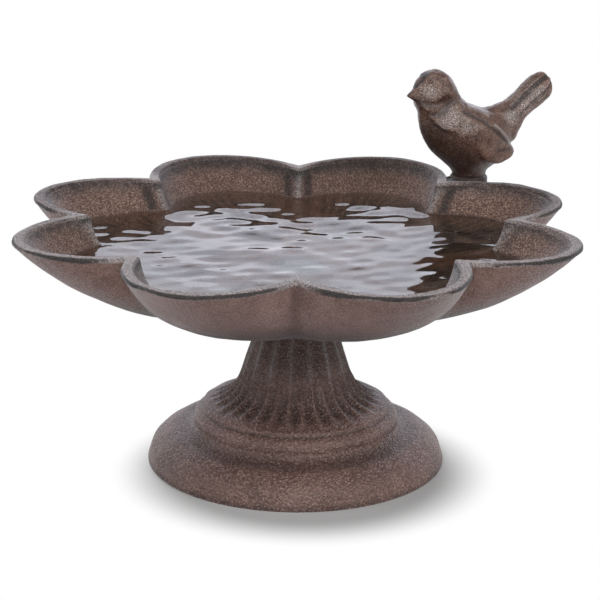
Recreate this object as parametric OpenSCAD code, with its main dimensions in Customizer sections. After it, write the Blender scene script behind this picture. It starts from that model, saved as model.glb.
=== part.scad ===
// Table-top bird bath in cast iron: a bowl of petals, a fluted pedestal and a bird on the rim.
// Origin: centre of the base, on the ground. +Z is up, the front is towards -Y.

/* [Bowl] */
// Number of petals round the bowl
petals = 8; // [6:1:10]
// Radius to the tip of a petal
tip_r = 129; // [120:1:140]
// Radius to the crease between two petals, at the rim
crease_r = 100.5; // [96:0.5:106]
// How pointed a petal is: 1 is part of a circle
petal_point = 1.35; // [1:0.05:1.6]
// Height of the rim above the ground
rim_h = 113; // [105:1:125]
// Width of the flat land along the rim
land_w = 5.5; // [4.5:0.5:7]
// Thickness of the wall next to the rim
rim_t = 4.7; // [4:0.1:5.2]
// Thickness of the floor at the middle
floor_t = 6.5; // [6:0.5:9]

/* [Pedestal] */
// Height of the seat that carries the bowl
seat_h = 64.2; // [62:0.1:66]
// Radius of the neck under the bowl
neck_r = 20; // [19:0.1:22]
// Radius of the base on the ground
base_r = 67.3; // [64:0.5:72]
// Number of flutes round the neck; each one splits in two lower down
flutes = 16; // [12:1:16]
// Depth of a flute near its lower end
flute_d = 1.8; // [0.8:0.1:2]

/* [Bird] */
// Distance of the bird's foot from the middle of the bath
bird_r = 114; // [112:1:116]
// How far the bird turns towards the front
bird_turn = 20; // [0:5:40]

/* [Fasteners] */
// Thread diameter of the centre bolt
bolt_d = 8; // [6:1:8]
// Length of the centre bolt under its head
bolt_l = 30; // [28:1:34]
// Thread diameter of the bird's screw
screw_d = 5; // [4:1:5]

/* [Hidden] */

patina = [0.40, 0.31, 0.27];
patina_dark = [0.33, 0.25, 0.22];
steel = [0.62, 0.62, 0.64];
black_rubber = [0.12, 0.12, 0.12];
arris = 1.4;         // rounding of the two edges of the rim
clearance = 0.5;     // between a thread and the hole that it passes through
steps = 12;          // facets of a petal from crease to crease
half = 180 / petals; // half the angle of a petal

// ---- Outline of the flower, seen from above ----
// Distance from the middle to the outline, at the angle psi from the axis of a petal. A petal is
// part of an ellipse that passes through the tip and through the two creases beside it.
function petal_radius(psi, tip, crease) =
    let (x = crease * cos(half), y = crease * sin(half), d = x - tip,
         across = -(pow(d / petal_point, 2) + y * y) * petal_point / (2 * d),
         along = petal_point * across, centre = tip - along,
         a = pow(cos(psi) / along, 2) + pow(sin(psi) / across, 2),
         b = centre * cos(psi) / pow(along, 2), c = pow(centre / along, 2) - 1)
    (b + sqrt(b * b - a * c)) / a;

// One ring of points round the bowl:
// [radius at the tips, radius at the creases, height, rise of the valley under a crease]
function flower_ring(ring) = [for (p = [0 : petals - 1], i = [0 : steps - 1])
    let (psi = half * (2 * i / steps - 1), a = 2 * half * p + half + psi,
         r = petal_radius(psi, ring[0], ring[1]),
         beside = r * sin(half - abs(psi)) / valley_w)
    [r * sin(a), r * cos(a), ring[2] + ring[3] * exp(-beside * beside)]];

// ---- Section of the bowl through the tip of a petal ----
hub_r = 22;                   // the flat seat under the bowl
hub_a = 11;                   // slope of the underside next to the seat
cone_start = 58;              // the slope grows from the seat to this radius
cone_a = 17.5;                // and then stays the same
cone_end = 78;                // until the underside curves up to the rim
bend_r = 117.6;               // radius of that curve
fade = 2.4;                   // how fast the petals die away below the rim
valley_d = 2.2;               // extra rise of the underside at a crease
valley_w = 8;                 // half the width of that valley
hub_bend = (cone_start - hub_r) / (sin(cone_a) - sin(hub_a));
cone_z = seat_h + hub_bend * (cos(hub_a) - cos(cone_a));
centre_r = cone_end - bend_r * sin(cone_a);
centre_z = cone_z + (cone_end - cone_start) * tan(cone_a) + bend_r * cos(cone_a);
inner_tip = tip_r - land_w;
inner_crease = crease_r - 6;

function slope(r) = r < cone_start ? asin(sin(hub_a) + (r - hub_r) / hub_bend)
                  : r < cone_end ? cone_a : asin((r - centre_r) / bend_r);
function outer_z(r) = r < cone_start ? seat_h + hub_bend * (cos(hub_a) - cos(slope(r)))
                    : r < cone_end ? cone_z + (r - cone_start) * tan(cone_a)
                    : centre_z - bend_r * cos(slope(r));
function wall_t(r) = floor_t - (floor_t - rim_t) * pow((r - hub_r) / (tip_r - hub_r), 2);
// Radius at the crease for a ring whose tips are at the radius r
function crease_of(r, tip, crease) = r * (1 - (1 - crease / tip) * pow(r / tip, fade));
// The valley is deepest half way from the seat to the crease at the rim
function valley(r) = r > crease_r ? 0
    : valley_d * pow(sin(180 * (r - hub_r) / (crease_r - hub_r)), 2);

outer_rings = [for (r = [hub_r, 32, 43, 54, 66, cone_end, 90, 101, 111, 119, 125])
    [r, crease_of(r, tip_r, crease_r), outer_z(r), valley(r)]];
outer_arris = [for (a = [0, 35, 65, 90])
    let (d = arris * (1 - cos(a)))
    [tip_r - d, crease_r - d, rim_h - arris * (1 - sin(a)), 0]];
inner_arris = [for (a = [90, 60, 30])
    let (d = arris * (1 - cos(a)))
    [inner_tip + d, inner_crease + d, rim_h - arris * (1 - sin(a)), 0]];
inner_rings = [for (r = [124, 117, 109, 99, 88, 74, 60, 45, 32])
    let (q = r - wall_t(r) * sin(slope(r)))
    [q, crease_of(q, inner_tip, inner_crease), outer_z(r) + wall_t(r) * cos(slope(r)), 0]];
floor_z = seat_h + floor_t;
floor_ring = [[18, 18, floor_z, 0]];

// Skin a stack of rings, with a flat face at each end
module skin(rings) {
    n = len(rings[0]);
    points = [for (ring = rings) each ring];
    sides = [for (k = [0 : len(rings) - 2], i = [0 : n - 1])
        let (j = (i + 1) % n, a = k * n, b = a + n)
        each [[a + i, b + j, b + i], [a + i, a + j, b + j]]];
    first = [for (i = [n - 1 : -1 : 0]) i];
    last = [for (i = [0 : n - 1]) (len(rings) - 1) * n + i];
    polyhedron(points, concat(sides, [first, last]), convexity = 10);
}

module at_bird() {
    rotate([0, 0, -half * 2 * round(45 / (2 * half))]) translate([0, bird_r, 0]) children();
}

// Where the bird's foot stands: facing forward along +X, a little behind its screw
module at_foot() {
    at_bird() rotate([0, 0, 45 + 180 + bird_turn]) translate([-foot_back, 0, 0]) children();
}

// ---- Bowl ----
foot_back = 1.2;
pad_h = 0.8;         // the pad under the bird stands proud of the rim
pad_r = 9;
tongue_t = 8;

// The tongue fills the notch between two petals, outside the inner outline, and carries the bird
module tongue() {
    top = rim_h + pad_h;
    under = top - tongue_t;
    at_foot() translate([0, 0, under]) cylinder(r = pad_r, h = tongue_t, $fn = 48);
    at_bird() {
        translate([0, 0, under + 0.7]) linear_extrude(tongue_t - pad_h - 1) polygon([
            [-1, -15.8], [1, -15.8], [7, -9.6], [7, 0], [-7, 0], [-7, -9.6]]);
        // A rib under the tongue
        translate([-2.5, 0, 0]) rotate([90, 0, 90]) linear_extrude(5)
            polygon([[pad_r - 4, under + 1], [-22, under - 15], [-19, under + 1]]);
    }
}

module bowl() {
    color(patina) difference() {
        union() {
            skin([for (ring = concat(outer_rings, outer_arris, inner_arris, inner_rings,
                                     floor_ring))
                flower_ring(ring)]);
            tongue();
        }
        translate([0, 0, seat_h - 1]) cylinder(d = bolt_d + clearance, h = floor_t + 2, $fn = 48);
        at_bird() translate([0, 0, rim_h - 20])
            cylinder(d = screw_d + clearance, h = 30, $fn = 32);
    }
}

// ---- Pedestal: a fluted trumpet on a moulded round base, hollow and open below ----
lip_z = 26;          // height of the lower edge of the trumpet
lip_r = 42.3;
groove_z = 24.4;     // the narrow groove between the trumpet and the base
flare_w = 14;        // how far the trumpet flares out at its lower edge
flare_h = 4.6;       // height over which most of the flare happens
seat_round = 0.8;

// Radius over the ridges of the trumpet at the height z
function stem_r(z) = neck_r + (lip_r - flare_w - neck_r) * (seat_h - z) / (seat_h - lip_z)
    + flare_w * exp(-pow(max(0, z - lip_z) / flare_h, 1.4));

// A flute has a ridge at each side. Lower down a second ridge rises in the middle and splits it
split_z = 38;                 // below this height the middle ridge is whole
merge_z = 48;                 // above this height it is gone
flute_turn = 6;               // turns the ridges about the stem
flute_t = [0, 0.1, 0.25, 0.4, 0.5, 0.6, 0.75, 0.9];
two_hollows = [0, 0.85, 1, 0.85, 0, 0.85, 1, 0.85];
one_hollow = [0, 0.36, 0.75, 0.96, 1, 0.96, 0.75, 0.36];

// How far the point i of a flute lies under the ridges at the height z. The lower ends are round
function flute_depth(i, z) =
    let (w = min(1, max(0, (z - split_z) / (merge_z - split_z))),
         across = 4 * abs(flute_t[i] - (flute_t[i] < 0.5 ? 0.25 : 0.75)),
         above_end = z - lip_z - 1.2 - 1.6 * across * across,
         low = two_hollows[i] * min(1, sqrt(max(0, above_end) / 3)))
    flute_d * ((1 - w) * low * (1 - 0.3 * (z - lip_z) / (merge_z - lip_z))
               + w * 0.4 * one_hollow[i]);

// One ring of the trumpet
function stem_ring(r, z) = [for (k = [0 : flutes - 1], i = [0 : len(flute_t) - 1])
    let (a = 360 * (k + flute_t[i]) / flutes + flute_turn, q = r - flute_depth(i, z))
    [q * sin(a), q * cos(a), z]];

stem_heights = [27.5, 28.3, 29.3, 30.5, 32, 34.5, 38, 42, 45, 48, 53, 58, seat_h - 1];

module trumpet() {
    skin(concat(
        [stem_ring(lip_r - 2.6, groove_z - 1.4), stem_ring(lip_r - 1.2, groove_z),
         stem_ring(lip_r - 0.2, lip_z - 0.8), stem_ring(lip_r, lip_z)],
        [for (z = stem_heights) stem_ring(stem_r(z), z)],
        [stem_ring(neck_r - seat_round, seat_h)]));
}

// An arc of points round a centre, from the angle a to the angle b
function arc(centre, r, a, b, n = 8) =
    [for (k = [0 : n]) let (t = a + (b - a) * k / n) centre + r * [cos(t), sin(t)]];

torus_c = [41.7, 19.8];   // centre and radius of the round moulding below the trumpet
torus_r = 4.6;
foot_h = 1.4;             // the short upright edge at the ground

module base_profile() {
    polygon(concat(
        [[0, foot_h], [0, groove_z]],
        arc(torus_c, torus_r, 90, -28),
        arc([51.6, 20.6], 6.1, 212, 274, 5),
        arc([51.2, -3.4], 17.9, 81, 34, 8),
        [[base_r - 0.6, foot_h + 1], [base_r, foot_h], [base_r, 0], [0, 0]]));
}

module hollow_profile() {
    polygon([[0, seat_h - 7], [15, seat_h - 7], [16.2, 47], [18.5, 39], [23, 32], [31, 25.5],
             [37, 20], [41.5, 13.5], [50, 9.2], [56, 6], [60.5, 2.5], [62, 0], [62, -1], [0, -1]]);
}

module pedestal() {
    color(patina) difference() {
        union() {
            trumpet();
            rotate_extrude($fn = 96) base_profile();
        }
        rotate_extrude($fn = 96) hollow_profile();
        translate([0, 0, seat_h - 10]) cylinder(d = bolt_d + clearance, h = 12, $fn = 48);
    }
}

// ---- Bird ----
// Level sections of the body and head, from the foot up:
// [height, furthest back, furthest forward, half width]. Forward is +X here.
body_sections = [
    [0, -8.4, 8.4, 8.2], [1.5, -8.2, 8.2, 8], [3, -8.8, 9.2, 8.4], [5, -11.4, 11.2, 9.8],
    [8, -14.6, 15, 11.8], [12, -17.2, 19.2, 13.4], [16.5, -18.8, 21.9, 14.4],
    [21, -19.4, 23.8, 14.8], [25.5, -18.4, 25, 14.4], [29.5, -14.5, 25.8, 13.6],
    [32.6, -7, 26.5, 12.6], [35, 0, 27.2, 11.8], [38, 4.6, 28.4, 11.2], [41.5, 7.2, 29.2, 11],
    [45, 9.2, 28.6, 10.2], [48, 11.2, 26.2, 8.8], [50.3, 13, 22.8, 6.6], [51.6, 14.8, 19.6, 3.8],
    [52, 16.2, 18.2, 1.4]];
bird_points = 28;

// Sections of the tail, from inside the body to the tip:
// [along, height, half thickness, half width], each across the line of the tail
tail_sections = [
    [-8, 20.4, 9.2, 9], [-13, 24.2, 7.8, 8.2], [-18, 28, 6, 7.2], [-23, 31.9, 4.8, 6.6],
    [-29, 36.4, 4.2, 6.5], [-34.4, 40.3, 4.2, 6.7], [-37.4, 42.4, 3.9, 6.3],
    [-39.4, 43.9, 3, 5], [-40.4, 44.6, 1.6, 3]];
tail_a = 36;              // how steeply the tail points up
// Outline of a section of the tail: three feathers side by side on top, a round edge below
tail_outline = [[-1, 0], [-0.95, 0.7], [-0.7, 1], [-0.36, 0.66], [0, 1], [0.36, 0.66], [0.7, 1],
                [0.95, 0.7], [1, 0], [0.86, -0.74], [0.5, -1], [-0.5, -1], [-0.86, -0.74]];

// [along, height, distance from the middle, half length, half thickness, half height]
wing_parts = [[10.5, 29.5, 12.4, 9.5, 2.5, 7.6], [0.5, 22.5, 13.8, 9, 2.7, 8],
              [-11.3, 14.2, 10.8, 7.4, 2.9, 6.6]];
function body_ring(s) = [for (i = [0 : bird_points - 1])
    let (a = 360 * i / bird_points)
    [(s[1] + s[2]) / 2 + (s[2] - s[1]) / 2 * cos(a), -s[3] * sin(a), s[0]]];
function tail_ring(s) = [for (p = tail_outline)
    let (up = s[2] * p[1])
    [s[0] + up * sin(tail_a), -s[3] * p[0], s[1] + up * cos(tail_a)]];

// A folded wing lies on each side of the body
module wing(side) {
    hull() for (w = wing_parts)
        translate([w[0], side * w[2], w[1]]) scale([w[3], w[4], w[5]]) sphere(1, $fn = 20);
}

module bird_casting() {
    skin([for (s = body_sections) body_ring(s)]);
    skin([for (s = tail_sections) tail_ring(s)]);
    translate([25.5, 0, 40.2]) rotate([0, 86, 0]) cylinder(r1 = 4.2, r2 = 0.7, h = 7.6, $fn = 16);
    for (side = [-1, 1]) wing(side);
}

module bird() {
    color(patina_dark) difference() {
        at_foot() translate([0, 0, rim_h + pad_h]) bird_casting();
        at_bird() translate([0, 0, rim_h + pad_h - 1]) cylinder(d = screw_d, h = 10, $fn = 32);
    }
}

// ---- Fasteners ----
seal_t = 2;
washer_t = 1.6;
head_h = 0.66 * bolt_d;
head_af = 1.625 * bolt_d;         // across the flats of the head and of the nut
nut_h = 0.8 * bolt_d;
head_z = floor_z + seal_t + washer_t;
nut_z = seat_h - 7 - washer_t - nut_h;

module washer(hole, outer, t, z) {
    translate([0, 0, z]) difference() {
        cylinder(d = outer, h = t, $fn = 48);
        translate([0, 0, -1]) cylinder(d = hole, h = t + 2, $fn = 48);
    }
}

// A hexagon with its corners turned off at the top
module hexagon(h) {
    intersection() {
        cylinder(d = head_af / cos(30), h = h, $fn = 6);
        cylinder(d1 = head_af / cos(30) + 2 * h * 1.7, d2 = head_af * 0.96, h = h, $fn = 48);
    }
}

module centre_bolt() {
    color(steel) translate([0, 0, head_z]) {
        hexagon(head_h);
        translate([0, 0, -bolt_l + 1]) cylinder(d = bolt_d, h = bolt_l, $fn = 48);
        translate([0, 0, -bolt_l]) cylinder(d1 = bolt_d - 2, d2 = bolt_d, h = 1, $fn = 48);
    }
}

module seal_washer() { color(black_rubber) washer(bolt_d, 26, seal_t, floor_z); }

module head_washer() { color(steel) washer(bolt_d, 20, washer_t, floor_z + seal_t); }

module nut_washer() { color(steel) washer(bolt_d, 20, washer_t, seat_h - 7 - washer_t); }

module centre_nut() {
    color(steel) translate([0, 0, nut_z]) difference() {
        translate([0, 0, nut_h]) mirror([0, 0, 1]) hexagon(nut_h);
        translate([0, 0, -1]) cylinder(d = bolt_d, h = nut_h + 2, $fn = 48);
    }
}

tongue_z = rim_h + pad_h - tongue_t;
screw_l = tongue_t + 8;
bird_washer_t = 1;

module bird_washer() {
    color(steel) at_bird() washer(screw_d, 2.2 * screw_d, bird_washer_t, tongue_z - bird_washer_t);
}

module bird_screw() {
    color(steel) at_bird() translate([0, 0, tongue_z - bird_washer_t]) {
        cylinder(d = screw_d, h = screw_l, $fn = 32);
        difference() {
            translate([0, 0, -0.7 * screw_d]) cylinder(d1 = 1.7 * screw_d, d2 = 1.9 * screw_d,
                                                       h = 0.7 * screw_d, $fn = 48);
            for (a = [0, 90]) rotate([0, 0, a])
                translate([-screw_d / 2, -0.5, -0.7 * screw_d - 1]) cube([screw_d, 1, 2.6]);
        }
    }
}

bowl();
pedestal();
bird();
centre_bolt();
seal_washer();
head_washer();
nut_washer();
centre_nut();
bird_screw();
bird_washer();
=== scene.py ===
# %% [markdown]
# # A table-top bird bath in cast iron
# The bath has three castings: a bowl of eight petals, a fluted pedestal and a little bird on the
# rim. A bolt holds the bowl on the pedestal and a screw holds the bird. Iron is cast in sand, so
# every surface keeps the grain of the sand, and the rust on it is waxed to a brown patina. The
# exact solids of all ten pieces are loaded first. The three castings are then made again with
# finer skins, the bolts and the seal keep their solids, and the bowl is filled with water.

# %% Load the frame
import math

import bpy
import numpy as np
from mathutils import Matrix, Vector


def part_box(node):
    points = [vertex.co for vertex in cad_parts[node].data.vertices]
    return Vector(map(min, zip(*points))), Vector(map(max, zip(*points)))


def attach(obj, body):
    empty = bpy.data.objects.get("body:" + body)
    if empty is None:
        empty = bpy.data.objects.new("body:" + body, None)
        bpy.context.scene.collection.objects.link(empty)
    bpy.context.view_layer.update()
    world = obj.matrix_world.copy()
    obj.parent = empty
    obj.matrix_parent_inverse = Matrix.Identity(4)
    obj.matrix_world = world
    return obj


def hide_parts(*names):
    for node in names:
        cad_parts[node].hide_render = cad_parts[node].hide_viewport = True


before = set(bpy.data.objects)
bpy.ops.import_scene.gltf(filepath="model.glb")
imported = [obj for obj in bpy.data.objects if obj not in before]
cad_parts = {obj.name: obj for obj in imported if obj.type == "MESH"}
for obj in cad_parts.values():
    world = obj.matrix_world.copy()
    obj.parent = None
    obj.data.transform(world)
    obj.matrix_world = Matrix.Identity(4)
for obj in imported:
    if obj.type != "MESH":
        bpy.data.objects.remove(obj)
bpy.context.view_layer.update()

MM = 0.001
root = "root"

# %% [markdown]
# ## Helpers
# A casting is easiest to describe in millimetres, as rows of points that go round it. One function
# turns such a grid into a mesh. Blender works in metres, so the points are scaled once, there.

# %% Make a mesh from a grid of points
def put(name, points, faces):
    """A smooth mesh object from points in millimetres."""
    mesh = bpy.data.meshes.new(name)
    mesh.from_pydata((np.asarray(points) * MM).tolist(), [], faces)
    mesh.polygons.foreach_set("use_smooth", [True] * len(mesh.polygons))
    mesh.validate()
    made = bpy.data.objects.new(name, mesh)
    bpy.context.scene.collection.objects.link(made)
    return made


def grid_faces(rows, columns, joined=False):
    """Quads between the rows of a grid whose columns go all the way round."""
    across = np.arange(columns)
    after = (across + 1) % columns
    found = []
    for row in range(rows if joined else rows - 1):
        a = row * columns
        b = (row + 1) % rows * columns
        found += np.stack([a + across, b + across, b + after, a + after], 1).tolist()
    return found


print("a grid of 3 rows and 4 columns has", len(grid_faces(3, 4)), "faces")

# %% [markdown]
# Three small curves shape nearly everything that follows: even steps, a soft step from 0 to 1,
# and a soft band round a line.

# %% Steps and curves
def span(a, b, count):
    """count values from a to b, without b itself."""
    return list(np.linspace(a, b, count, endpoint=False))


def ease(x):
    """0 below 0, 1 above 1, and a smooth step between."""
    x = np.clip(x, 0, 1)
    return x * x * (3 - 2 * x)


def band(distance, width):
    """1 on a line, about a third at the distance width, and soon 0."""
    return np.exp(-((distance / width) ** 2))


print("half way through the step", ease(0.5), "and at the edge of the band", round(band(1, 1), 2))

# %% [markdown]
# ## The outline of the bowl
# Seen from above, each petal is part of an ellipse. Two petals meet in a crease. Sand can't hold
# a sharp inner corner, so the crease is blended: a smooth maximum of the two petals rounds it off.
# A drawn curve would do for one outline. A rule gives the flower at any size and softness, and
# the bowl has more than a hundred and sixty rings.

# %% Petals of the bowl
petals = 8
half = math.pi / petals  # half of a petal's share of the circle
tip_r = 129.0  # from the middle to the tip of a petal
crease_r = 100.5  # from the middle to a crease between two petals
petal_point = 1.35  # length of a petal's ellipse over its width
seat_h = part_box("pedestal")[1].z / MM  # the bowl sits at this height
pad_h = 0.8  # the pad below the bird stands this far above the rim
rim_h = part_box("bowl")[1].z / MM - pad_h


def one_petal(psi, tip, crease):
    """Radius of the ellipse of a petal at the angle psi from its axis."""
    x = crease * math.cos(half)
    y = crease * math.sin(half)
    d = x - tip
    across = -((d / petal_point) ** 2 + y * y) * petal_point / (2 * d)
    along = petal_point * across
    centre = tip - along
    a = (np.cos(psi) / along) ** 2 + (np.sin(psi) / across) ** 2
    b = centre * np.cos(psi) / along**2
    c = (centre / along) ** 2 - 1
    return (b + np.sqrt(np.maximum(b * b - a * c, 0))) / a


def outline(psi, tip, crease, soft):
    """Radius of the flower. soft is how far from the crease, in mm, the two petals blend."""
    soft = min(soft, 4 * (tip - crease)) + 0.01
    sharp = min(crease - soft / 4, tip - 0.02)
    mine = one_petal(psi, tip, sharp)
    other = one_petal(2 * half - np.abs(psi), tip, sharp)
    near = np.maximum(soft - np.abs(mine - other), 0)
    return np.maximum(mine, other) + near * near / (4 * soft)


print("bowl seat", round(seat_h, 2), "rim", round(rim_h, 2))

# %% [markdown]
# ## The section of the bowl
# Cut through the tip of a petal, the underside leaves the flat seat at a low slope, steepens to a
# cone and then bends up to the rim. It could be a curve to spin, but a spun bowl has no petals, so
# the section is a rule too: a height and a wall for each distance from the middle.

# %% Section of the bowl through the tip of a petal
hole_r = 4.25  # the hole for the bolt
hub_r = 22.0  # the flat seat ends here
hub_a = math.radians(11)  # slope of the underside beside the seat
cone_start = 58.0  # the cone starts here
cone_a = math.radians(17.5)  # slope of the cone
cone_end = 78.0  # the bend up to the rim starts here
bend_r = 117.6  # radius of that bend
fade = 2.4  # how fast the petals fade towards the foot
floor_t = 6.5  # wall in the middle
rim_t = 4.7  # wall at the rim
land_w = 5.5  # width of the flat land of the rim at the tips
ridge_w = 8.5  # width of the land at the inner ridges
arris = 1.4  # radius of the two rounded edges of the land
hub_bend = (cone_start - hub_r) / (math.sin(cone_a) - math.sin(hub_a))
cone_z = seat_h + hub_bend * (math.cos(hub_a) - math.cos(cone_a))
centre_r = cone_end - bend_r * math.sin(cone_a)
centre_z = cone_z + (cone_end - cone_start) * math.tan(cone_a) + bend_r * math.cos(cone_a)
inner_tip = tip_r - land_w
inner_crease = crease_r - ridge_w
floor_z = seat_h + floor_t


def slope(r):
    """Angle of the underside at the distance r from the middle."""
    if r < cone_start:
        return math.asin(math.sin(hub_a) + (r - hub_r) / hub_bend)
    return cone_a if r < cone_end else math.asin((r - centre_r) / bend_r)


def under_z(r):
    """Height of the underside of the bowl."""
    if r < cone_start:
        return seat_h + hub_bend * (math.cos(hub_a) - math.cos(slope(r)))
    if r < cone_end:
        return cone_z + (r - cone_start) * math.tan(cone_a)
    return centre_z - bend_r * math.cos(slope(r))


def wall_t(r):
    """Thickness of the wall, which thins towards the rim."""
    return floor_t - (floor_t - rim_t) * ((r - hub_r) / (tip_r - hub_r)) ** 2


def crease_of(r, tip, crease):
    """Distance of the crease from the middle, on the ring whose tips are at the distance r."""
    return r * (1 - (1 - crease / tip) * (r / tip) ** fade)


print("the bowl rises", round(rim_h - seat_h, 1), "mm from its seat")

# %% [markdown]
# ## The bowl
# The bowl is one casting with walls about 5 mm thick. It could be made with modifiers from a flat
# flower, but its two faces are best described by rules: how high the metal is at each distance
# from the middle, and how much of the flower shows there. The petals are strongest at the rim and
# fade towards the foot. One closed skin of rings runs from the bolt hole out along the underside,
# over the flat land of the rim and back along the inside.

# %% Rings of the bowl
# [radius at the tips, radius at the creases, height, softness of the crease, side]
# side is 0 on the underside, 0.5 on the outer arris, 1 on the land, 1.5 on the inner arris and
# 2 on the inside.
rings = []
foot_soft = 3
edge_soft = 2.6
quarter = np.radians([0, 18, 36, 54, 72, 90])
for r in [hole_r, 8, 12, 16, 19.5, 21.2]:
    rings.append([r, r, seat_h, foot_soft, 0])
for r in span(hub_r, 124, 66) + [125, 126, 127, 127.9]:
    soft = 3.2 + 7 * float(ease((121 - r) / 45))
    rings.append([r, crease_of(r, tip_r, crease_r), under_z(r), soft, 0])
for a in quarter:
    back = arris * (1 - math.cos(a))
    z = rim_h - arris * (1 - math.sin(a))
    rings.append([tip_r - back, crease_r - back, z, edge_soft, 0.5])
for step in (0.3, 0.5, 0.7):
    back = arris + step * (land_w - 2 * arris)
    more = (ridge_w - land_w) * step
    rings.append([tip_r - back, crease_r - back - more, rim_h, edge_soft, 1])
for a in quarter[::-1]:
    back = arris * (1 - math.cos(a))
    z = rim_h - arris * (1 - math.sin(a))
    rings.append([inner_tip + back, inner_crease + back, z, edge_soft, 1.5])
for r in [125.6] + span(124.6, 32, 66) + [30, 27, 24]:
    q = r - wall_t(r) * math.sin(slope(r))
    z = under_z(r) + wall_t(r) * math.cos(slope(r))
    rings.append([q, crease_of(q, inner_tip, inner_crease), max(z, floor_z), edge_soft, 2])
for r in [20, 17, 13, 9, hole_r]:
    rings.append([r, r, floor_z, foot_soft, 2])
rings = np.array(rings)
print("the bowl has", len(rings), "rings")

# %% Points of the bowl
steps = 72  # points along one petal
turn = np.arange(petals * steps) / steps * 2 * half  # measured from the crease at the back
psi = (turn % (2 * half)) - half  # angle from the axis of the petal
beside_crease = np.sin(half - np.abs(psi))  # times a radius, the distance from the crease
valley_d = 2.2  # depth of the valley in the underside below a crease
valley_w = 8.0  # how far it reaches to each side


def valley(r):
    """How much the underside rises in the valley below a crease."""
    if r >= crease_r or r <= hub_r:
        return 0.0
    return valley_d * math.sin(math.pi * (r - hub_r) / (crease_r - hub_r)) ** 2


points = []
for tip, crease, z, soft, side in rings:
    r = outline(psi, tip, crease, soft) if tip > hub_r else np.full(len(psi), tip)
    lift = valley(tip) * band(r * beside_crease, valley_w) if side == 0 else 0
    points.append(np.stack([r * np.sin(turn), r * np.cos(turn), z + lift + 0 * r], 1))
points = np.array(points)
print("the bowl has", points.shape[0] * points.shape[1], "points")

# %% [markdown]
# The mould leaves two more things on the bowl: the faces are never quite true, and fine veins run
# down the inside of each petal like those of a real one. Both could be bump in the material, but
# they show in the outline and in raking light, so they are small moves along the normal.

# %% Smooth noise and normals
waves = np.random.default_rng(7)
wave_count = 24
wave_ways = waves.normal(size=(wave_count, 3))
wave_ways /= np.linalg.norm(wave_ways, axis=1)[:, None]
wave_starts = waves.uniform(0, 2 * math.pi, wave_count)
usual_peak = 1.6  # of the sum, once its waves are scaled for their number


def sway(points, length):
    """Smooth noise between about -1 and 1 whose bumps are about length apart."""
    turned = points @ wave_ways.T * (2 * math.pi / length)
    stretch = np.linspace(0.6, 1.5, wave_count)
    total = np.sin(turned * stretch + wave_starts).sum(1)
    return total / math.sqrt(wave_count / 2) / usual_peak


def grid_normals(grid):
    """Normals of a grid that goes round, on the same side as the normals of its faces."""
    along = np.gradient(grid, axis=0)
    across = np.roll(grid, -1, 1) - np.roll(grid, 1, 1)
    normal = np.cross(along, across)
    return normal / np.maximum(np.linalg.norm(normal, axis=2, keepdims=True), 1e-9)


normals = grid_normals(points)
print("normals", normals.shape)

# %% Waviness of the bowl
tip_of = rings[:, 0][:, None]
side_of = rings[:, 4][:, None] * np.ones(len(psi))
flat = points.reshape(-1, 3)
wavy = np.zeros(len(flat))
for length, tall in ((26, 0.16), (9, 0.06)):
    wavy += sway(flat, length) * tall
wavy = wavy.reshape(side_of.shape)
seat_free = ease((tip_of - hub_r) / 12)  # the seat and the land stay true
land_free = np.abs(rings[:, 2][:, None] - rim_h) > 0.05
print("the bowl is out of true by up to", round(float(np.abs(wavy).max()), 2), "mm")

# %% Veins inside the petals
veins = 5  # on each side of the middle vein of a petal
vein_w = 1.5
vein_d = 0.35
vein_spread = 0.86  # share of the petal that they cover at the rim
vein = np.zeros_like(side_of)
radius = np.hypot(points[..., 0], points[..., 1])
for k in range(-veins, veins + 1):
    place = k / (veins + 1) * half * vein_spread
    bend = place * (0.55 + 0.45 * (tip_of / tip_r))  # they draw together towards the foot
    away = radius * np.sin(psi[None, :] - bend)
    vein = np.maximum(vein, band(away, vein_w) * (1 - 0.05 * abs(k)))
# They start away from the middle and fade before the rim.
vein *= (side_of == 2) * ease((tip_of - 30) / 15) * ease((112 - tip_of) / 16)
points = points + normals * (wavy * seat_free * land_free - vein * vein_d)[..., None]
print("deepest vein", round(float(vein.max() * vein_d), 2), "mm")

# %% Skin of the bowl
bowl_points = points.reshape(-1, 3)
bowl_faces = grid_faces(len(rings), len(psi), joined=True)
print("bowl skin", len(bowl_faces), "faces")

# %% [markdown]
# ## The tongue below the bird
# The bird needs something to stand on. A tongue fills the notch between two petals behind it, with
# a round pad for the foot and a rib below. Blender's Boolean could fuse it with the bowl, but the
# join is hidden in the iron, so three small closed lofts that sink into the wall do as well.

# %% Lofts
def loft(rows_of_points):
    """Points and faces of a closed loft, with a flat face at each end."""
    rows_of_points = np.array(rows_of_points)
    count, columns = rows_of_points.shape[:2]
    faces = grid_faces(count, columns)
    faces.append(list(range(columns))[::-1])
    faces.append([(count - 1) * columns + i for i in range(columns)])
    return rows_of_points.reshape(-1, 3), faces


def join_lofts(parts):
    """The points and faces of several lofts as one."""
    points, faces = [], []
    first = 0
    for some_points, some_faces in parts:
        points.append(some_points)
        faces += [[first + i for i in face] for face in some_faces]
        first += len(some_points)
    return np.concatenate(points), faces


def placed(points, matrix):
    """Points moved by a matrix."""
    return (np.c_[points, np.ones(len(points))] @ np.array(matrix).T)[:, :3]


print("lofts ready")

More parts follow.
